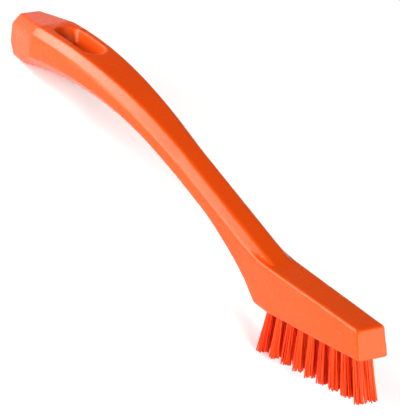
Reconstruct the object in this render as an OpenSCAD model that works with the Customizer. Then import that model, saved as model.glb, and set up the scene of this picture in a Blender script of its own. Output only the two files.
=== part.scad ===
// Grout brush: one moulded handle and two rows of filament tufts held by flat wire anchors.
// The shape is drawn with the block level: u runs back from the block's front edge, y across, and z up
// from the block's underside. The finished brush is then tipped back until it stands on its hind tufts and
// on the heel of its grip, as it does on a table.

/* [Block] */
// Length of the block's underside
block_len = 57.4; // [52:0.1:70]
// Width of the block at its front, at the top
block_front_w = 10.8; // [9:0.1:13]
// Width of the block's underside near the front
base_front_w = 11; // [9.5:0.1:13]
// Width of the block's underside at the hind tufts
base_rear_w = 9; // [8.4:0.1:12]
// Distance back to where the underside begins to narrow
base_taper_from = 18; // [10:0.5:30]
// Length of the cut corners at the rear of the underside
rear_corner_len = 8; // [5:0.5:9]
// Height of the block's front face
front_h = 9.7; // [9:0.1:14]
// How far the front face's top edge lies behind its lower edge
front_rake = 2; // [0:0.1:4]
// Slope of the block's top face, rising to the rear
block_slope = 7.5; // [3:0.1:12]
// Bevel along the lower edges of the block
base_bevel = 0.5; // [0.2:0.1:1.2]
// Bevel along the upper edges of the block
top_bevel = 0.7; // [0.2:0.1:1.2]
// Slope of the block's back, where it leaves the underside
heel_slope = 52; // [42:1:65]

/* [Neck] */
// How far in front of the block's rear the neck's top face rises out of the block
neck_overlap = 10; // [6:0.1:14]
// Slope of the straight neck
neck_slope = 23.5; // [18:0.1:28]
// Width of the neck
neck_w = 12.4; // [11:0.1:16]
// Depth of the neck, across its top and bottom faces
neck_depth = 8.8; // [8:0.1:13]
// Upper chamfer of the neck
neck_chamfer = 2.7; // [1:0.1:3.5]
// Lower chamfer of the neck
neck_under_chamfer = 2.1; // [1:0.1:3]
// Distance back to the end of the straight sides
neck_end = 99; // [92:0.5:108]
// Length over which the block's upper edge curves up into the neck
shoulder_len = 18; // [8:0.5:19]

/* [Grip] */
// Length of the brush along the block's level, front edge to handle end
overall_len = 205; // [198:0.5:220]
// Distance back to where the arch of the grip begins
bend_start = 109.5; // [104:0.5:118]
// Radius of the arch, along the top face
bend_r = 231; // [200:1:280]
// Length of the tapered end behind the widest place of the grip
end_taper_len = 18.5; // [14:0.5:24]
// Slope of the top face over the tapered end
tail_slope = 1; // [0:0.5:4]
// Width of the grip at its widest place
grip_w = 20.6; // [16:0.1:26]
// Depth of the grip at its widest place
grip_depth = 14.9; // [11:0.1:18]
// Upper chamfer of the grip at its widest place
grip_chamfer = 3.3; // [1:0.1:4]
// Lower chamfer of the grip at its widest place
grip_under_chamfer = 4.3; // [1:0.1:5]
// Lower chamfer at the handle's end face
end_under_chamfer = 1; // [0.5:0.1:3]
// Width of the handle's end face
end_w = 14; // [9:0.1:18]
// Height of the end face's upper facet
end_facet_h = 10; // [6:0.1:12]
// How far the end face's top edge stands in front of its ridge
end_rake = 1.2; // [0:0.1:3]
// How far the end face's lower edge stands in front of its ridge
end_under_rake = 2.5; // [0:0.1:4]
// Length of the bevel under the handle's end
end_under_len = 9; // [3:0.1:12]
// Rise of the bevel under the handle's end
end_under_rise = 1; // [0.4:0.1:3]

/* [Hanging hole] */
// Distance from the handle's end to the middle of the hole
hole_from_end = 35; // [32:0.5:42]
// Length of the hole
hole_len = 17; // [14:0.5:20]
// Width of the hole
hole_w = 6.6; // [5:0.1:8]
// Length of the scoop around the hole, on the top face
scoop_len = 26; // [22:0.5:27]
// Width of the scoop around the hole, on the top face
scoop_w = 9.2; // [8.2:0.1:11]
// Depth of the scoop
scoop_depth = 4.6; // [1:0.1:6]
// Width of the rounded edge under the hole
rim_w = 1; // [0.3:0.1:1.5]

/* [Tufts] */
// Tufts in each row
tufts_per_row = 9; // [3:1:9]
// Distance from the block's front edge to the first tuft
tuft_front_margin = 5.6; // [4.4:0.1:7]
// Distance from the last tuft to the rear of the block's underside
tuft_rear_margin = 7; // [6.4:0.1:10]
// Distance between the two rows at the block's underside
row_gap = 3.7; // [3.4:0.1:4.6]
// Visible length of the filaments
trim_len = 14.6; // [8:0.1:30]
// Thickness of a tuft where it leaves the block
tuft_d = 2.9; // [1.5:0.05:3]
// Spread of a tuft on each side of its axis
tuft_spread = 1; // [0:0.1:5]
// Lean of the end tufts, to the front and to the rear
fan_angle = 12; // [0:0.5:13]
// Lean of the rows, to each side
row_lean = 1; // [0:0.5:8]
// Depth of the tuft holes
hole_depth = 6.6; // [5:0.1:6.8]
// Room between a tuft and the wall of its hole
tuft_clearance = 0.05; // [0.02:0.01:0.15]
// Room between a folded tuft and the bottom of its hole
fold_room = 0.15; // [0.05:0.05:0.4]

/* [Anchors] */
// Thickness of the flat anchor wire
anchor_t = 0.3; // [0.2:0.05:0.4]
// Width of the flat anchor wire, along the hole
anchor_h = 1.5; // [1:0.1:2]
// How far each end of an anchor bites into the wall of its hole
anchor_bite = 0.25; // [0.1:0.05:0.35]
// Depth of filament folded over the anchor
fold_depth = 0.9; // [0.5:0.1:1.4]
// Turn of the anchors, away from the line of the rows
anchor_turn = 30; // [0:5:60]

/* [Hidden] */

handle_colour = "#F4511E";
tuft_colour = "#E53012";
anchor_colour = "#C8CCD0";

// Step between the grip's cross-sections, and faces around a round thing
section_step = 3;
round_faces = 48;
// Powers that say how the grip grows out of the neck: under 1 is early, over 1 is late
chamfer_growth = 0.5;
width_growth = 1.2;
depth_growth = 2;
// Share of the block's upper bevel that is gone where it has become the edge of the neck
bevel_fade = 2 / 3;
// Roundness of a folded tuft's end, as a share of its radius
fold_roundness = 0.8;
// Reach of a cutting solid past the face it cuts
past = 1;

neck_start = block_len - neck_overlap;
grip_wide_at = overall_len - end_taper_len;
hole_at = overall_len - hole_from_end;

// Heights of the faces that a cross-section cuts, all by distance back

function block_top(u) = front_h + (u - front_rake) * tan(block_slope);

neck_start_z = block_top(neck_start);
bend_start_z = neck_start_z + (bend_start - neck_start) * tan(neck_slope);

function slope(u) = u < bend_start ? neck_slope
    : u > grip_wide_at ? tail_slope
    : asin(sin(neck_slope) - (u - bend_start) / bend_r);

function arch_top(u) = bend_start_z + bend_r * (cos(slope(u)) - cos(neck_slope));

function bar_top(u) = u < bend_start ? neck_start_z + (u - neck_start) * tan(neck_slope)
    : u <= grip_wide_at ? arch_top(u)
    : arch_top(grip_wide_at) + (u - grip_wide_at) * tan(tail_slope);

function top_z(u) = u < neck_start ? block_top(u) : bar_top(u);

// Share of the way from the neck to the widest place of the grip, and sizes that grow with it
function grip_share(u) = max(0, (min(u, grip_wide_at) - neck_end) / (grip_wide_at - neck_end));

function grown(u, neck_value, grip_value, power) =
    neck_value + (grip_value - neck_value) * pow(grip_share(u), power);

function upper_chamfer(u) = grown(u, neck_chamfer, grip_chamfer, chamfer_growth);

function lower_chamfer(u) = u < neck_end
    ? lookup(u, [[block_len - rear_corner_len, base_bevel],
                 [block_len + rear_corner_len / 2, neck_under_chamfer]])
    : u < grip_wide_at ? grown(u, neck_under_chamfer, grip_under_chamfer, 1)
    : lookup(u, [[grip_wide_at, grip_under_chamfer], [overall_len, end_under_chamfer]]);

function side_half(u) = u < neck_start
    ? lookup(u, [[0, block_front_w / 2], [neck_start, neck_w / 2]])
    : u < grip_wide_at
    ? neck_w / 2 + (grip_w - neck_w) / 2 * sin(90 * pow(grip_share(u), width_growth))
    : lookup(u, [[grip_wide_at, grip_w / 2], [overall_len, end_w / 2]]);

// The back of the block is an arc from the underside to the neck's lower face
neck_under_z = bar_top(block_len) - neck_depth / cos(neck_slope);
back_r = neck_under_z / (cos(neck_slope) - cos(heel_slope)
    - tan(neck_slope) * (sin(heel_slope) - sin(neck_slope)));
back_end = block_len + back_r * (sin(heel_slope) - sin(neck_slope));

function back_slope(u) = asin(sin(heel_slope) - (u - block_len) / back_r);

// The underside narrows to the rear, and above the block's back the sides stand straight again
function lower_half(u) = u > back_end ? side_half(u)
    : lookup(u, [[base_taper_from, base_front_w / 2],
                 [block_len, base_rear_w / 2],
                 [(block_len + back_end) / 2, (neck_w - base_bevel) / 2],
                 [back_end, neck_w / 2]]);

under_bevel_at = overall_len - end_under_len;

function bar_depth(u) = neck_depth + (grip_depth - neck_depth)
    * pow(max(0, (min(u, under_bevel_at) - neck_end) / (grip_wide_at - neck_end)), depth_growth);

function bottom_z(u) = u <= block_len ? 0
    : u < back_end ? back_r * (cos(back_slope(u)) - cos(heel_slope))
    : bar_top(u) - bar_depth(u) / cos(slope(u))
      + end_under_rise * max(0, u - under_bevel_at) / end_under_len;

// The ledge is what is left of the block's top beside the neck, and it sweeps up into the neck's chamfer
function chamfer_foot(u) = bar_top(u) - upper_chamfer(u) / cos(slope(u));

ledge_meet = neck_start + neck_chamfer / cos(neck_slope) / (tan(neck_slope) - tan(block_slope));
ledge_start = ledge_meet - shoulder_len / 2;
ledge_end = ledge_meet + shoulder_len / 2;

function ledge_z(u) = u < ledge_start ? min(block_top(u), top_z(u))
    : u > ledge_end ? chamfer_foot(u)
    : block_top(u) + (tan(neck_slope) - tan(block_slope)) * pow(u - ledge_start, 2) / (2 * shoulder_len);

function top_half(u) = side_half(u) - upper_chamfer(u);

function foot_half(u) = min(top_half(u) + (top_z(u) - ledge_z(u)) * cos(slope(u)),
                            side_half(u) - top_bevel);

function foot_z(u) = top_z(u) - (foot_half(u) - top_half(u)) / cos(slope(u));

// What is gone of the upper bevel, from none on the block to most of it on the neck
function edge_share(u) = bevel_fade * lookup(u, [[neck_start, 0], [ledge_end, 1]]);

// One half of a cross-section, from the top's middle line outwards and down, as [distance back, y, z]
function half_section(u) = let (soft = edge_share(u)) [
    [u, top_half(u), top_z(u)],
    [u, foot_half(u), foot_z(u)],
    [u, side_half(u) - top_bevel * (1 - soft), ledge_z(u) + top_bevel * soft / 4],
    [u, side_half(u), ledge_z(u) - top_bevel * (1 - soft / 2)],
    [u, (side_half(u) + lower_half(u)) / 2, (ledge_z(u) + bottom_z(u) + lower_chamfer(u)) / 2],
    [u, lower_half(u), bottom_z(u) + lower_chamfer(u)],
    [u, lower_half(u) - lower_chamfer(u), bottom_z(u)]];

// The front face leans back
front_section = [for (p = half_section(0)) [front_rake * p.z / block_top(0), p.y, p.z]];

// The end face has a ridge across it, between a tall upper facet and a low one
ridge = 4;
end_top_z = top_z(overall_len);
ridge_z = end_top_z - end_facet_h;
end_bottom_z = bottom_z(overall_len);

function end_u(z) = overall_len
    - end_rake * max(0, z - ridge_z) / end_facet_h
    - end_under_rake * max(0, ridge_z - z) / (ridge_z - end_bottom_z);

end_half = half_section(overall_len);
end_section = [for (i = [0:len(end_half) - 1])
    let (z = i == ridge ? ridge_z : end_half[i].z) [end_u(z), end_half[i].y, z]];

function ring(half) = concat(
    [for (p = half) [-p.x, p.y, p.z]],
    [for (i = [len(half) - 1:-1:0]) [-half[i].x, -half[i].y, half[i].z]]);

section_places = concat(
    [front_rake + top_bevel, base_taper_from, block_len - rear_corner_len, neck_start,
     block_len - neck_overlap / 2, block_len],
    [for (u = [block_len + section_step / 2:section_step:grip_wide_at - section_step / 2]) u],
    [grip_wide_at, under_bevel_at]);

function sorted(list) = len(list) < 2 ? list
    : let (pivot = list[floor(len(list) / 2)])
      concat(sorted([for (v = list) if (v < pivot) v]), [pivot], sorted([for (v = list) if (v > pivot) v]));

rings = concat(
    [ring(front_section)],
    [for (u = sorted(section_places)) ring(half_section(u))],
    [ring(end_section)]);

module loft(rings) {
    n = len(rings[0]);
    polyhedron(
        points = [for (r = rings, p = r) p],
        faces = concat(
            [[for (i = [0:n - 1]) i]],
            [for (k = [0:len(rings) - 2], i = [0:n - 1])
                [k * n + i, (k + 1) * n + i, (k + 1) * n + (i + 1) % n, k * n + (i + 1) % n]],
            [[for (i = [n - 1:-1:0]) (len(rings) - 1) * n + i]]),
        convexity = 6);
}

// Tufts and anchors stand in their holes, so one placement serves all three
tuft_pitch = (block_len - tuft_front_margin - tuft_rear_margin) / (tufts_per_row - 1);

function tuft_u(i) = tuft_front_margin + (i - 1) * tuft_pitch;

function tuft_fan(i) = fan_angle * (1 - 2 * (i - 1) / (tufts_per_row - 1));

module at_tuft(row, i) {
    side = row == "near" ? -1 : 1;
    translate([-tuft_u(i), side * row_gap / 2, 0])
        rotate([side * row_lean, -tuft_fan(i), 0])
            children();
}

tuft_hole_d = tuft_d + 2 * tuft_clearance;
fold_z = hole_depth - fold_room;
anchor_z = fold_z - fold_depth - anchor_h;
anchor_len = tuft_hole_d + 2 * anchor_bite;

module tuft_hole() {
    translate([0, 0, -past])
        cylinder(d = tuft_hole_d, h = hole_depth + past, $fn = round_faces);
}

module anchor_wire(room = 0) {
    rotate([0, 0, anchor_turn])
        translate([-anchor_len / 2 - room, -anchor_t / 2 - room, anchor_z - room])
            cube([anchor_len + 2 * room, anchor_t + 2 * room, anchor_h + 2 * room]);
}

module slot_prism(len, w, h) {
    linear_extrude(height = h) {
        square([len - w, w], center = true);
        for (side = [-1, 1])
            translate([side * (len - w) / 2, 0])
                circle(d = w, $fn = round_faces);
    }
}

// The hanging hole stands square to the grip's top face
module at_hanging_hole() {
    translate([-hole_at, 0, bar_top(hole_at)])
        rotate([0, slope(hole_at), 0])
            children();
}

module hanging_hole() {
    depth = bar_depth(hole_at);
    thin = 0.01;
    translate([0, 0, -depth - 2 * past])
        slot_prism(hole_len, hole_w, depth + 4 * past);
    hull() {
        translate([0, 0, -scoop_depth])
            slot_prism(hole_len, hole_w, thin);
        slot_prism(scoop_len, scoop_w, thin);
    }
    slot_prism(scoop_len, scoop_w, 2 * past);
    hull() {
        translate([0, 0, -depth + rim_w])
            slot_prism(hole_len, hole_w, thin);
        translate([0, 0, -depth - past])
            slot_prism(hole_len + 2 * rim_w + 2 * past, hole_w + 2 * rim_w + 2 * past, thin);
    }
}

module handle_body() {
    difference() {
        loft(rings);
        at_hanging_hole() hanging_hole();
        for (row = ["near", "far"], i = [1:tufts_per_row])
            at_tuft(row, i) {
                tuft_hole();
                anchor_wire();
            }
    }
}

// A tuft is round and straight in its hole, folded over its anchor, and spreads below the block
tip_reach = trim_len / cos(fan_angle) / cos(row_lean) + tuft_d;

module tuft_body(row, i) {
    r = tuft_d / 2;
    round = min(r, fold_depth) * fold_roundness;
    intersection() {
        at_tuft(row, i)
            difference() {
                rotate_extrude($fn = round_faces)
                    polygon(concat(
                        [[0, -tip_reach], [r + tip_reach * tan(tuft_spread), -tip_reach], [r, 0]],
                        [for (a = [0:15:75]) [r - round + round * cos(a), fold_z - round + round * sin(a)]],
                        [[r - round, fold_z], [0, fold_z]]));
                anchor_wire(tuft_clearance);
            }
        translate([-block_len - trim_len, -neck_w, -trim_len])
            cube([block_len + 2 * trim_len, 2 * neck_w, trim_len + hole_depth + past]);
    }
}

// Reach of an end tuft's tip, past the middle of its hole and away from the row
tip_spread = tuft_d / 2 * cos(fan_angle)
    + (trim_len + tuft_d / 2 * sin(fan_angle)) * tan(fan_angle + tuft_spread);

// At rest the brush stands on its hind tips and on the lowest point of the grip
hind_tip_u = tuft_u(tufts_per_row) + tip_spread;
heel_points = concat(
    [for (u = section_places) if (u > neck_end) [u, bottom_z(u)]],
    [[end_u(end_bottom_z), end_bottom_z]]);
rest_tilt = min([for (p = heel_points) atan2(p.y + trim_len, p.x - hind_tip_u)]);
rest_z = hind_tip_u * sin(rest_tilt) + trim_len * cos(rest_tilt);

function rest_x(u, z) = -u * cos(rest_tilt) - z * sin(rest_tilt);

rest_front = max(concat([for (p = front_section) rest_x(p.x, p.z)],
                        [rest_x(tuft_u(1) - tip_spread, -trim_len)]));
rest_back = min([for (p = end_section) rest_x(p.x, p.z)]);

module at_rest() {
    translate([-(rest_front + rest_back) / 2, 0, rest_z])
        rotate([0, -rest_tilt, 0])
            children();
}

module handle() {
    color(handle_colour) at_rest() handle_body();
}

module tuft(row, i) {
    color(tuft_colour) at_rest() tuft_body(row, i);
}

module anchor(row, i) {
    color(anchor_colour) at_rest() at_tuft(row, i) anchor_wire();
}

handle();
for (row = ["near", "far"], i = [1:tufts_per_row]) {
    tuft(row, i);
    anchor(row, i);
}
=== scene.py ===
# %% [markdown]
# This brush scrubs tile joints. It is one injection-moulded handle with two rows of filament tufts,
# and flat wire anchors hold the tufts in blind holes. The solids of all 37 pieces come first,
# because every piece made here has to sit where its solid sits.

# %% Load the solids
import math
import bmesh
import bpy
from mathutils import Matrix, Vector


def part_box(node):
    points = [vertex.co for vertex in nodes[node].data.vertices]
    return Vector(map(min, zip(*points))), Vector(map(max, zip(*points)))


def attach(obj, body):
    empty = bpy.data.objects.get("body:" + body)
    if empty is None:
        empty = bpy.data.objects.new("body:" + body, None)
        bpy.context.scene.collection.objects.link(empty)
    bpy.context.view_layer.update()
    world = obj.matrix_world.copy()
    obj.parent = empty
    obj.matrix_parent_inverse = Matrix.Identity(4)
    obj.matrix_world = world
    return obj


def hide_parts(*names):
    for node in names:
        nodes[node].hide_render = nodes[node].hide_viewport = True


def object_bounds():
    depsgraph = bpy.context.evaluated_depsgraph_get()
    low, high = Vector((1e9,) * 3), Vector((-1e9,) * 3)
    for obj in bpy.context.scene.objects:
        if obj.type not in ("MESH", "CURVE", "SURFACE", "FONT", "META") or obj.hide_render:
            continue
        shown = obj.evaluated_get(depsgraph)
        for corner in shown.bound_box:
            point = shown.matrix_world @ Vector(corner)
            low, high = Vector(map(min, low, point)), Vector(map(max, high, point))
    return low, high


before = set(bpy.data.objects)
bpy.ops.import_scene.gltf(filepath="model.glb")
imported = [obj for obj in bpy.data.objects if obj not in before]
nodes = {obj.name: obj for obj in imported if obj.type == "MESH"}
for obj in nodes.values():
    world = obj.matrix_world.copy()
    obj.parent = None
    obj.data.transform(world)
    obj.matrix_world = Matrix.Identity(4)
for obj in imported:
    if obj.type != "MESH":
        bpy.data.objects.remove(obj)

MM = 0.001
cad_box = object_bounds()
tuft_names = sorted(name for name in nodes if name.startswith("tuft_"))
tufts_per_row = len(tuft_names) // 2
print("solids:", len(nodes), "tufts:", len(tuft_names))
print("size in mm:", [round(side / MM, 1) for side in cad_box[1] - cad_box[0]])

# %% [markdown]
# The brush stands on its hind filaments and on the heel of its grip, so its block is tipped back.
# The anchors of a row lie in one line along the block, and an anchor's box is centred on its tuft's
# axis. The line from the last anchor to the first one therefore shows how far the block is tipped.

# %% Find the block's tilt
def anchor_centre(row, number):
    low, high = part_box(f"anchor_{row}_{number}")
    return (low + high) / 2


along_block = anchor_centre("near", 1) - anchor_centre("near", tufts_per_row)
block_tilt = math.atan2(along_block.z, along_block.x)
block_turn = Matrix.Rotation(-block_tilt, 3, "Y")
block_up = block_turn @ Vector((0, 0, 1))
print("block tipped back by", round(math.degrees(block_tilt), 2), "degrees")

# %% [markdown]
# Every piece made here is a mesh, a lamp or a camera that an object carries into the scene, so one
# helper makes the object. A second one turns an object with modifiers into a plain mesh, which is
# how a piece has to end before it is fixed to the brush.

# %% Helpers for objects
def add_object(name, data):
    """An object that carries data, in the scene and at the origin."""
    made = bpy.data.objects.new(name, data)
    bpy.context.scene.collection.objects.link(made)
    return made


def keep_result(obj, name):
    """The evaluated shape of obj as a plain mesh object at the origin."""
    graph = bpy.context.evaluated_depsgraph_get()
    mesh = bpy.data.meshes.new_from_object(obj.evaluated_get(graph), depsgraph=graph)
    made = add_object(name, mesh)
    bpy.data.objects.remove(obj)
    return made


# %% [markdown]
# Every material and every geometry tree below is a set of nodes. One helper adds a node, gives it
# its settings, and fills each input with a value, with a link to one output, or with a node, which
# stands for that node's first output. Colours are written as on a paint card, in sRGB, and the
# shaders reckon in linear light, so a second helper turns the one into the other.

# %% Helpers for nodes and colours
# Nearly all the values of a noise texture lie between these two
NOISE_LOW, NOISE_HIGH = 0.3, 0.7


def fill_socket(tree, socket, value):
    """Give a socket a value, or link it to an output or to a node's first output."""
    if isinstance(value, bpy.types.Node):
        value = next(output for output in value.outputs if output.enabled)
    if isinstance(value, bpy.types.NodeSocket):
        tree.links.new(value, socket)
    else:
        socket.default_value = value


def add_node(tree, kind, inputs=None, **settings):
    node = tree.nodes.new(kind)
    for name, value in settings.items():
        setattr(node, name, value)
    for key, value in (inputs or {}).items():
        fill_socket(tree, node.inputs[key], value)
    return node


def linear(hex_colour):
    channels = [int(hex_colour[i:i + 2], 16) / 255 for i in (1, 3, 5)]
    return [c / 12.92 if c <= 0.04045 else ((c + 0.055) / 1.055) ** 2.4 for c in channels] + [1.0]


def new_material(name):
    material = bpy.data.materials.new(name)
    material.use_nodes = True
    material.node_tree.nodes.clear()
    return material, material.node_tree


print("the grey #808080 in linear light:", round(linear("#808080")[0], 3))

# %% [markdown]
# A moulded handle has no sharp edge anywhere: the steel mould is cut with a round tool, and the
# plastic shrinks as it cools. Bevelling the edges one by one would leave pinched faces where the
# neck's chamfer fades into the block. Instead the solid is laid out again in small even cells and
# then relaxed a little. That rounds a square edge by somewhat under a millimetre and a shallow one
# by more, inside the hanging hole too. A solid comes as loose triangles, so its copy is merged
# first.

# %% Round the moulded handle
cell = 0.42 * MM
relax_steps = 5
relax_share = 0.5
merge_distance = 0.001 * MM


def merged_copy(node_name):
    """A node's mesh with its loose triangles joined."""
    shape = bmesh.new()
    shape.from_mesh(nodes[node_name].data)
    bmesh.ops.remove_doubles(shape, verts=shape.verts, dist=merge_distance)
    mesh = bpy.data.meshes.new(node_name + "_merged")
    shape.to_mesh(mesh)
    shape.free()
    mesh.materials.clear()
    return add_object(node_name + "_merged", mesh)


blank = merged_copy("handle")
cells = blank.modifiers.new("even cells", "REMESH")
cells.mode = "VOXEL"
cells.voxel_size = cell
cells.use_smooth_shade = True
relaxed = blank.modifiers.new("relaxed edges", "SMOOTH")
relaxed.factor = relax_share
relaxed.iterations = relax_steps
handle = keep_result(blank, "moulded_handle")
print("handle faces:", len(handle.data.polygons))

# %% [markdown]
# The handle is polypropylene, injection moulded in orange. It comes out of a finely blasted mould
# with a satin gloss: a soft sheen, a very fine grain, faint flow marks in the colour, and slightly
# duller patches where hands have polished it less. Cutting the grain into the mesh would take
# millions of faces, and a bump does the same for the eye. The grain is really some 0.2 mm across,
# and it is drawn at 0.7 mm so that it can be seen at all. Polypropylene has an IOR of 1.49. The
# brush's sheen is weaker and warmer than that of clear plastic, so the specular level and tint are
# turned down to match.

# %% Moulded polypropylene
grain_size, grain_depth, grain_strength = 0.7 * MM, 0.05 * MM, 0.1
patch_size = 14 * MM
flow_size = 45 * MM
orange_shades = "#C43C04", "#CB4205"
polished, duller = 0.24, 0.3
sheen_level, sheen_tint = 0.24, (1.0, 0.9, 0.7, 1.0)


def moulded_polypropylene():
    material, tree = new_material("injection_moulded_polypropylene_orange")
    place = add_node(tree, "ShaderNodeTexCoord").outputs["Object"]
    flow = add_node(tree, "ShaderNodeTexNoise", {
        "Vector": place, "Scale": 1 / flow_size, "Detail": 2.0, "Roughness": 0.5,
        "Distortion": 0.6})
    colour = add_node(tree, "ShaderNodeMix", {
        "Factor": flow, "A": linear(orange_shades[0]), "B": linear(orange_shades[1])},
        data_type="RGBA")
    patches = add_node(tree, "ShaderNodeTexNoise", {
        "Vector": place, "Scale": 1 / patch_size, "Detail": 3.0, "Roughness": 0.55})
    roughness = add_node(tree, "ShaderNodeMapRange", {
        "Value": patches, "From Min": NOISE_LOW, "From Max": NOISE_HIGH, "To Min": polished,
        "To Max": duller})
    grain = add_node(tree, "ShaderNodeTexNoise", {
        "Vector": place, "Scale": 1 / grain_size, "Detail": 2.0, "Roughness": 0.6})
    bump = add_node(tree, "ShaderNodeBump", {
        "Height": grain, "Strength": grain_strength, "Distance": grain_depth})
    shader = add_node(tree, "ShaderNodeBsdfPrincipled", {
        "Base Color": colour, "Roughness": roughness, "Normal": bump, "IOR": 1.49,
        "Specular IOR Level": sheen_level, "Specular Tint": sheen_tint})
    add_node(tree, "ShaderNodeOutputMaterial", {"Surface": shader})
    return material


orange_plastic = moulded_polypropylene()
handle.data.materials.append(orange_plastic)
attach(handle, "root")
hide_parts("handle")
print("handle material:", orange_plastic.name)

# %% [markdown]
# The filaments are extruded polyester, half a millimetre thick, folded over the anchor and cut to
# length in one pass. Polyester lets some light in, so a filament glows where light strikes it and
# goes deep red where its neighbours shade it. Strong colour with little gloss gives that glow here,
# and the shade between the filaments comes from the light itself. Over the last twentieth of each
# filament the colour is mixed towards a dark brownish red, most at the tip. Each filament carries
# two values that the material reads: its own tone, and how far along it a point lies. Polyester
# has an IOR of 1.57.

# %% Extruded polyester
filament_shades = "#E02A03", "#EE4C0A"
# The last twentieth of each filament is mixed towards this dark brownish red, most at its tip
tip_dark_colour, tip_darkening, darkening_from = "#7A1004", 0.55, 0.95
smooth_strand, rough_strand = 0.4, 0.55
strand_sheen = 0.15


def extruded_polyester():
    material, tree = new_material("extruded_polyester_filament_red_orange")
    tone = add_node(tree, "ShaderNodeAttribute", attribute_name="tone").outputs["Fac"]
    along = add_node(tree, "ShaderNodeAttribute", attribute_name="along").outputs["Fac"]
    body = add_node(tree, "ShaderNodeMix", {
        "Factor": tone, "A": linear(filament_shades[0]), "B": linear(filament_shades[1])},
        data_type="RGBA")
    # How far the colour is mixed towards the dark tip colour, over the last twentieth of the
    # filament
    darker_tip = add_node(tree, "ShaderNodeMapRange", {
        "Value": along, "From Min": darkening_from, "From Max": 1.0, "To Min": 0.0,
        "To Max": tip_darkening})
    colour = add_node(tree, "ShaderNodeMix", {
        "Factor": darker_tip, "A": body, "B": linear(tip_dark_colour)}, data_type="RGBA")
    roughness = add_node(tree, "ShaderNodeMapRange", {
        "Value": tone, "From Min": 0.0, "From Max": 1.0, "To Min": smooth_strand,
        "To Max": rough_strand})
    shader = add_node(tree, "ShaderNodeBsdfPrincipled", {
        "Base Color": colour, "Roughness": roughness, "IOR": 1.57,
        "Specular IOR Level": strand_sheen})
    add_node(tree, "ShaderNodeOutputMaterial", {"Surface": shader})
    return material


filament_plastic = extruded_polyester()
print("filament material:", filament_plastic.name)

# %% [markdown]
# A tuft is some twenty filaments folded in half, so some forty ends leave one round hole side by
# side and part a little on their way down. A hair system could draw them, but hair isn't solid and
# wouldn't be exported. They follow a rule, so Geometry Nodes grow them. Points fill the hole, each
# point gets a curve that runs down to the plane where the brush was trimmed, and each curve becomes
# a six-sided filament. The tree works in the hole's own frame, with the mouth of the hole at zero
# and the filaments going down. Its inputs are the sizes of a tuft in metres and radians, so that
# one tree serves all eighteen of them.

# %% The tree and its inputs
MATH, VECTOR_MATH = "ShaderNodeMath", "ShaderNodeVectorMath"
tuft_inputs = {
    "Filaments": "Int", "Filament Diameter": "Float", "Tuft Diameter": "Float",
    "Length In Hole": "Float", "Trim Depth": "Float", "Trim Normal": "Vector", "Spread": "Float",
    "Wander": "Float", "Curl": "Float", "Unevenness": "Float", "Seed": "Int", "Place": "Vector",
    "Turn": "Vector", "Material": "Material"}

tuft_tree = bpy.data.node_groups.new("grow_a_tuft", "GeometryNodeTree")
input_keys = {}
for name, kind in tuft_inputs.items():
    socket = tuft_tree.interface.new_socket(
        name, in_out="INPUT", socket_type="NodeSocket" + kind)
    input_keys[name] = socket.identifier
tuft_tree.interface.new_socket("Geometry", in_out="OUTPUT", socket_type="NodeSocketGeometry")
given = add_node(tuft_tree, "NodeGroupInput").outputs
print("inputs of the tree:", len(input_keys))

# %% [markdown]
# No two filaments are alike, so each one draws some values of its own. Every kind of draw adds its
# own number to the tuft's seed. The draws then differ from each other, and still come out the same
# in every run.

# %% What each filament draws for itself
sideways = (-1, -1, 0), (1, 1, 0)
draws = (("turn", "FLOAT", (0.0, 0.5)), ("own way", "FLOAT_VECTOR", sideways),
         ("shortness", "FLOAT", (0.0, 1.0)), ("curl", "FLOAT_VECTOR", sideways),
         ("tone", "FLOAT", (0.0, 1.0)))
drawn = {}
for number, (name, kind, (low, high)) in enumerate(draws, start=1):
    seed = add_node(tuft_tree, MATH, {0: given["Seed"], 1: number}, operation="ADD")
    drawn[name] = add_node(tuft_tree, "FunctionNodeRandomValue", {
        "Min": low, "Max": high, "Seed": seed}, data_type=kind)
print("draws for each filament:", list(drawn))

# %% [markdown]
# The roots lie in a sunflower spiral, because it packs a circle evenly for any number of filaments.
# Each next root is turned by the golden angle, and its distance from the middle grows with the
# square root of its number. How far out a root lies, as a share of the hole, is used again below.

# %% A root in the hole for each filament
golden_angle = math.pi * (3 - math.sqrt(5))
points = add_node(tuft_tree, "GeometryNodePoints", {"Count": given["Filaments"]})
index = add_node(tuft_tree, "GeometryNodeInputIndex")
counted = add_node(tuft_tree, MATH, {0: index, 1: 0.5}, operation="ADD")
area_share = add_node(tuft_tree, MATH, {0: counted, 1: given["Filaments"]}, operation="DIVIDE")
share = add_node(tuft_tree, MATH, {0: area_share}, operation="SQRT")
spiral = add_node(tuft_tree, MATH, {0: index, 1: golden_angle}, operation="MULTIPLY")
angle = add_node(tuft_tree, MATH, {0: spiral, 1: drawn["turn"]}, operation="ADD")
outwards = add_node(tuft_tree, "ShaderNodeCombineXYZ")
for axis, operation in (("X", "COSINE"), ("Y", "SINE")):
    part = add_node(tuft_tree, MATH, {0: angle}, operation=operation)
    shared = add_node(tuft_tree, MATH, {0: part, 1: share}, operation="MULTIPLY")
    fill_socket(tuft_tree, outwards.inputs[axis], shared)
room = add_node(tuft_tree, MATH, {
    0: given["Tuft Diameter"], 1: given["Filament Diameter"]}, operation="SUBTRACT")
reach = add_node(tuft_tree, MATH, {0: room, 1: 0.5}, operation="MULTIPLY")
root = add_node(tuft_tree, VECTOR_MATH, {0: outwards, "Scale": reach}, operation="SCALE")
print("golden angle:", round(math.degrees(golden_angle), 1), "degrees")

# %% [markdown]
# A filament goes down, outwards by its place in the tuft, and a little its own way. It ends at the
# plane where the brush was trimmed, and most of them end a touch short of it, because filaments
# spring back after the cut. The draw for that is squared, so that few end far short.

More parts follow.
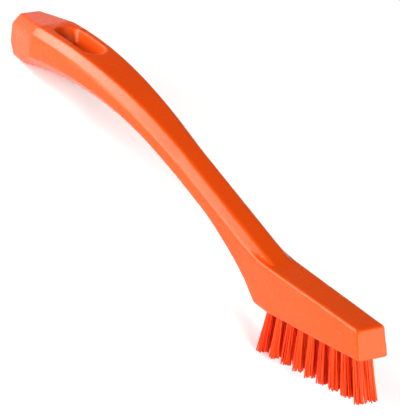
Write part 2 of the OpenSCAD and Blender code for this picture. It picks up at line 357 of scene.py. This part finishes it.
# %% The direction and length of each filament
slant = add_node(tuft_tree, MATH, {0: given["Spread"]}, operation="TANGENT")
parting = add_node(tuft_tree, VECTOR_MATH, {0: outwards, "Scale": slant}, operation="SCALE")
own_way = add_node(tuft_tree, VECTOR_MATH, {
    0: drawn["own way"], "Scale": given["Wander"]}, operation="SCALE")
leaning = add_node(tuft_tree, VECTOR_MATH, {0: parting, 1: own_way}, operation="ADD")
direction = add_node(tuft_tree, VECTOR_MATH, {0: leaning, 1: (0, 0, -1)}, operation="ADD")

plane_level = add_node(tuft_tree, MATH, {0: given["Trim Depth"], 1: -1.0}, operation="MULTIPLY")
root_level, pace = [
    add_node(tuft_tree, VECTOR_MATH, {0: way, 1: given["Trim Normal"]}, operation="DOT_PRODUCT")
    for way in (root, direction)]
drop = add_node(tuft_tree, MATH, {0: plane_level, 1: root_level}, operation="SUBTRACT")
to_plane = add_node(tuft_tree, MATH, {0: drop, 1: pace}, operation="DIVIDE")
squared = add_node(tuft_tree, MATH, {0: drawn["shortness"], 1: 2.0}, operation="POWER")
short = add_node(tuft_tree, MATH, {0: given["Unevenness"], 1: squared}, operation="MULTIPLY")
length = add_node(tuft_tree, MATH, {0: to_plane, 1: short}, operation="SUBTRACT")
curl = add_node(tuft_tree, VECTOR_MATH, {
    0: drawn["curl"], "Scale": given["Curl"]}, operation="SCALE")
print("nodes so far:", len(tuft_tree.nodes))

# %% [markdown]
# All of that is worked out for points, but what gets bent is a curve. So the values are captured on
# the points first. Then one straight curve is handed to every point, and the curves take the values
# of their points with them when the instances are made real.

# %% One straight curve for each point
points_per_filament = 7
captured = add_node(tuft_tree, "GeometryNodeCaptureAttribute", {"Geometry": points},
                    domain="POINT")
for kind, name, field in (("VECTOR", "root", root), ("VECTOR", "direction", direction),
                          ("FLOAT", "length", length), ("VECTOR", "curl", curl),
                          ("FLOAT", "tone", drawn["tone"])):
    captured.capture_items.new(kind, name)
    fill_socket(tuft_tree, captured.inputs[name], field)
kept = captured.outputs

straight = add_node(tuft_tree, "GeometryNodeCurvePrimitiveLine", {"End": (0, 0, -1)})
stepped = add_node(tuft_tree, "GeometryNodeResampleCurve", {
    "Curve": straight, "Count": points_per_filament})
along = add_node(tuft_tree, "GeometryNodeSplineParameter").outputs["Factor"]
marked = add_node(tuft_tree, "GeometryNodeStoreNamedAttribute", {
    "Geometry": stepped, "Name": "along", "Value": along}, data_type="FLOAT", domain="POINT")
handed = add_node(tuft_tree, "GeometryNodeInstanceOnPoints", {
    "Points": kept["Geometry"], "Instance": marked})
real = add_node(tuft_tree, "GeometryNodeRealizeInstances", {"Geometry": handed})
print("points on each filament:", points_per_filament)

# %% [markdown]
# Now each point of a curve moves to where its filament has it. The travel is measured from the
# mouth of the hole, so it starts below zero, inside the hole. A filament is straight in its hole
# and bends more and more towards its tip, as the square of the travel.

# %% Bend the curves
part = add_node(tuft_tree, "GeometryNodeInputNamedAttribute", {"Name": "along"},
                data_type="FLOAT")
whole = add_node(tuft_tree, MATH, {0: kept["length"], 1: given["Length In Hole"]},
                 operation="ADD")
gone = add_node(tuft_tree, MATH, {0: part, 1: whole}, operation="MULTIPLY")
travel = add_node(tuft_tree, MATH, {0: gone, 1: given["Length In Hole"]}, operation="SUBTRACT")
travelled = add_node(tuft_tree, MATH, {0: travel, 1: kept["length"]}, operation="DIVIDE")
outside = add_node(tuft_tree, MATH, {0: travelled, 1: 0.0}, operation="MAXIMUM")
bending = add_node(tuft_tree, MATH, {0: outside, 1: 2.0}, operation="POWER")

down = add_node(tuft_tree, VECTOR_MATH, {
    0: kept["direction"], "Scale": travel}, operation="SCALE")
on_line = add_node(tuft_tree, VECTOR_MATH, {0: kept["root"], 1: down}, operation="ADD")
aside = add_node(tuft_tree, VECTOR_MATH, {0: kept["curl"], "Scale": bending}, operation="SCALE")
position = add_node(tuft_tree, VECTOR_MATH, {0: on_line, 1: aside}, operation="ADD")
bent = add_node(tuft_tree, "GeometryNodeSetPosition", {"Geometry": real, "Position": position})
toned = add_node(tuft_tree, "GeometryNodeStoreNamedAttribute", {
    "Geometry": bent, "Name": "tone", "Value": kept["tone"]}, data_type="FLOAT", domain="POINT")
print("nodes so far:", len(tuft_tree.nodes))

# %% [markdown]
# Last, the curves get a six-sided section, which is round enough for half a millimetre and keeps
# the tufts light. The tuft goes to its hole, and the tree ends as a plain mesh with its material.

# %% Give the filaments their section
sides = 6
radius = add_node(tuft_tree, MATH, {0: given["Filament Diameter"], 1: 0.5}, operation="MULTIPLY")
section = add_node(tuft_tree, "GeometryNodeCurvePrimitiveCircle", {
    "Resolution": sides, "Radius": radius}, mode="RADIUS")
filaments = add_node(tuft_tree, "GeometryNodeCurveToMesh", {
    "Curve": toned, "Profile Curve": section, "Fill Caps": True})
rotation = add_node(tuft_tree, "FunctionNodeEulerToRotation", {"Euler": given["Turn"]})
placed = add_node(tuft_tree, "GeometryNodeTransform", {
    "Geometry": filaments, "Translation": given["Place"], "Rotation": rotation})
plain = add_node(tuft_tree, "GeometryNodeRealizeInstances", {"Geometry": placed})
dressed = add_node(tuft_tree, "GeometryNodeSetMaterial", {
    "Geometry": plain, "Material": given["Material"]})
add_node(tuft_tree, "NodeGroupOutput", {"Geometry": dressed})
print("nodes in the tree:", len(tuft_tree.nodes))

# %% [markdown]
# Each tuft leans its own way: the end tufts fan out to the front and the rear, and both rows lean
# outwards. The solids already say how. A tuft's axis runs from its anchor's middle to the middle of
# the flat where its solid is trimmed. It leaves its hole at the level of the block's underside,
# which is the lowest level of the handle in the block's own frame, because the neck and the grip
# rise from there.

# %% Read each tuft's hole from its solid
flat_band = 0.05 * MM


def trimmed_flat(name):
    """The middle of a tuft's trimmed end, and its level along the block's up direction."""
    points = [v.co for v in nodes[name].data.vertices]
    level = min(p.dot(block_up) for p in points)
    flat = [p for p in points if p.dot(block_up) < level + flat_band]
    low = Vector([min(p[k] for p in flat) for k in range(3)])
    high = Vector([max(p[k] for p in flat) for k in range(3)])
    return (low + high) / 2, level


trim_level = trimmed_flat(tuft_names[0])[1]
handle_points = [v.co for v in nodes["handle"].data.vertices]
underside_level = min(p.dot(block_up) for p in handle_points)
trim_length = underside_level - trim_level
print("filaments stand out by", round(trim_length / MM, 2), "mm")

# %% [markdown]
# Now the tree grows all eighteen tufts. Only the seed, the place and the turn differ. The trimming
# plane is level with the block, so in a leaning hole's frame its normal leans the other way. A
# tuft swells as it leaves its hole, so it is drawn a little wider than the hole, also in its first
# 2.5 mm inside, where nobody sees it.

# %% Grow the tufts
tuft_sizes = {
    "Filaments": 44, "Filament Diameter": 0.5 * MM, "Tuft Diameter": 3.35 * MM,
    "Length In Hole": 2.5 * MM, "Trim Depth": trim_length, "Spread": math.radians(1.4),
    "Wander": 0.03, "Curl": 0.35 * MM, "Unevenness": 1.3 * MM, "Material": filament_plastic}


def grow_tuft(name, seed):
    row, number = name.split("_")[1:]
    anchor = anchor_centre(row, number)
    tip, _ = trimmed_flat(name)
    axis = (anchor - tip).normalized()
    mouth = tip + axis * ((underside_level - tip.dot(block_up)) / axis.dot(block_up))
    turn = Vector((0, 0, 1)).rotation_difference(axis)
    own = {"Trim Normal": turn.inverted() @ block_up, "Seed": seed, "Place": mouth,
           "Turn": turn.to_euler()}
    blank = add_object("blank", bpy.data.meshes.new("blank"))
    grown = blank.modifiers.new("tuft", "NODES")
    grown.node_group = tuft_tree
    for size, value in {**tuft_sizes, **own}.items():
        grown[input_keys[size]] = value
    tuft = keep_result(blank, name.replace("tuft", "filaments"))
    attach(tuft, "root")
    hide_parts(name)
    return tuft


tufts = [grow_tuft(name, seed) for seed, name in enumerate(tuft_names)]
print("filament faces:", sum(len(t.data.polygons) for t in tufts))

# %% [markdown]
# The anchors are cut from flat drawn stainless wire. They are buried in the block, where nobody
# sees them, and their solids already have the right shape, so they only get their metal: pale, with
# the fine unevenness that the drawing die leaves. A metal keeps the default IOR, because its colour
# is its reflection.

# %% Drawn stainless wire
drawing_mark = 0.12 * MM
steel_shades = "#B9BCBE", "#D2D4D6"
bright_metal, dull_metal = 0.25, 0.4


def drawn_steel():
    material, tree = new_material("drawn_stainless_steel_wire")
    place = add_node(tree, "ShaderNodeTexCoord").outputs["Object"]
    marks = add_node(tree, "ShaderNodeTexNoise", {
        "Vector": place, "Scale": 1 / drawing_mark, "Detail": 2.0})
    colour = add_node(tree, "ShaderNodeMix", {
        "Factor": marks, "A": linear(steel_shades[0]), "B": linear(steel_shades[1])},
        data_type="RGBA")
    roughness = add_node(tree, "ShaderNodeMapRange", {
        "Value": marks, "From Min": NOISE_LOW, "From Max": NOISE_HIGH, "To Min": bright_metal,
        "To Max": dull_metal})
    shader = add_node(tree, "ShaderNodeBsdfPrincipled", {
        "Base Color": colour, "Roughness": roughness, "Metallic": 1.0})
    add_node(tree, "ShaderNodeOutputMaterial", {"Surface": shader})
    return material


wire_steel = drawn_steel()
anchors = [node for name, node in nodes.items() if name.startswith("anchor_")]
for anchor in anchors:
    anchor.data.materials.clear()
    anchor.data.materials.append(wire_steel)
print("anchors in steel:", len(anchors))

# %% [markdown]
# The brush stands on plain pale board with matt white paint. One flat tone would look like a
# computer's white, so its tone is a little uneven, in patches a third of a metre across.

# %% Floor
board_shades = "#F4F4F3", "#F7F7F7"
mottles_per_metre = 3.0
matt_paint = 0.85
floor_half = 2.5


def pale_board():
    material, tree = new_material("matt_white_painted_board")
    place = add_node(tree, "ShaderNodeTexCoord").outputs["Object"]
    mottle = add_node(tree, "ShaderNodeTexNoise", {
        "Vector": place, "Scale": mottles_per_metre, "Detail": 3.0})
    colour = add_node(tree, "ShaderNodeMix", {
        "Factor": mottle, "A": linear(board_shades[0]), "B": linear(board_shades[1])},
        data_type="RGBA")
    shader = add_node(tree, "ShaderNodeBsdfPrincipled", {
        "Base Color": colour, "Roughness": matt_paint})
    add_node(tree, "ShaderNodeOutputMaterial", {"Surface": shader})
    return material


floor_mesh = bpy.data.meshes.new("floor")
corners = [(x * floor_half, y * floor_half, 0) for x, y in ((-1, -1), (1, -1), (1, 1), (-1, 1))]
floor_mesh.from_pydata(corners, [], [(0, 1, 2, 3)])
floor_mesh.materials.append(pale_board())
floor = add_object("floor", floor_mesh)
print("floor side:", 2 * floor_half, "m")

# %% [markdown]
# In the photograph the sides of the brush are bright, its top faces are deep orange, and a pale
# sheen runs along the chamfer. So most light comes from low down and little comes from above. A
# wide soft box stands low to the left of the camera and lights the side. One to its right lights
# the front face, and a weak one further round is what that face mirrors. Another weak one overhead
# lifts the top faces. A narrow strip stands just where the chamfer mirrors it into the lens.

# %% Light
middle = (cad_box[0] + cad_box[1]) / 2


def bearing(azimuth, elevation):
    """The direction from the brush to something at that azimuth and elevation."""
    a, e = math.radians(azimuth), math.radians(elevation)
    return Vector((math.sin(a) * math.cos(e), -math.cos(a) * math.cos(e), math.sin(e)))


def soft_box(name, left, right, distance, height, watts):
    """A soft box whose middle line runs between two bearings of the brush, and which faces it."""
    ends = [middle + bearing(*end) * distance for end in (left, right)]
    place = (ends[0] + ends[1]) / 2
    away = (place - middle).normalized()
    across = (ends[1] - ends[0]).normalized()
    upright = away.cross(across).normalized()
    lamp = bpy.data.lights.new(name, "AREA")
    lamp.shape = "RECTANGLE"
    lamp.size, lamp.size_y = (ends[1] - ends[0]).length, height
    lamp.energy = watts
    box = add_object(name, lamp)
    box.matrix_world = (Matrix.Translation(place)
                        @ Matrix((across, upright, away)).transposed().to_4x4())
    return box


# Each has the azimuth and elevation of its left and right end, then its distance from the brush
# and its height in metres, then its watts
soft_boxes = [
    soft_box("side_soft_box", (-48, 12), (6, 12), 0.75, 0.32, 8.2),
    soft_box("front_soft_box", (70, 14), (104, 14), 0.7, 0.3, 6.2),
    soft_box("far_soft_box", (112, 18), (142, 18), 0.7, 0.3, 1.8),
    soft_box("top_soft_box", (-120, 66), (60, 66), 0.75, 0.45, 1.1),
    soft_box("chamfer_strip", (-76, 12), (-40, 34), 0.7, 0.14, 3.7)]
print("lights:", [box.name for box in soft_boxes])

# %% [markdown]
# A faint even glow from all around keeps the deepest shade from going black, as the walls of a pale
# studio do. The picture shows colours as they are, without a film look over them.

# %% The pale studio around it
studio_glow = 0.07
world = bpy.data.worlds.new("pale_studio")
world.use_nodes = True
world.node_tree.nodes.clear()
sky = add_node(world.node_tree, "ShaderNodeBackground", {
    "Color": linear("#FFFFFF"), "Strength": studio_glow})
add_node(world.node_tree, "ShaderNodeOutputWorld", {"Surface": sky})
bpy.context.scene.world = world
bpy.context.scene.view_settings.view_transform = "Standard"
print("glow from all around:", studio_glow)

# %% [markdown]
# The camera stands to the near side of the block's front and looks down along the brush with a long
# lens, so the grip recedes only a little. It was fitted to the photograph in the block's own axes,
# because the block has the clearest edges, and so it is placed from the block's lower front edge.

# %% Camera
view_azimuth, view_elevation, view_roll = 55.164, 17.789, 2.353
view_distance = 974.0 * MM
aim_from_edge = Vector((-94.91, 0, 20.76)) * MM
picture_width, picture_height = 400, 417
focal_length_px = 3000
sensor_width = 36
nearest_seen = 50 * MM

block_forward = block_turn @ Vector((1, 0, 0))
front_level = max(p.dot(block_forward) for p in handle_points)
front_edge = block_forward * front_level + block_up * underside_level

back = bearing(view_azimuth, view_elevation)
level_right = bearing(view_azimuth + 90, 0)
level_up = back.cross(level_right)
roll = math.radians(view_roll)
right = level_right * math.cos(roll) + level_up * math.sin(roll)
up = back.cross(right)
from_block = Matrix((right, up, back)).transposed()
camera_place = front_edge + block_turn @ (aim_from_edge + back * view_distance)

lens = bpy.data.cameras.new("camera")
lens.sensor_width = sensor_width
lens.lens = focal_length_px / max(picture_width, picture_height) * lens.sensor_width
lens.clip_start = nearest_seen
camera = add_object("camera", lens)
camera.matrix_world = Matrix.Translation(camera_place) @ (block_turn @ from_block).to_4x4()
bpy.context.scene.camera = camera
print("lens:", round(lens.lens, 1), "mm, camera at", [round(c, 3) for c in camera_place])
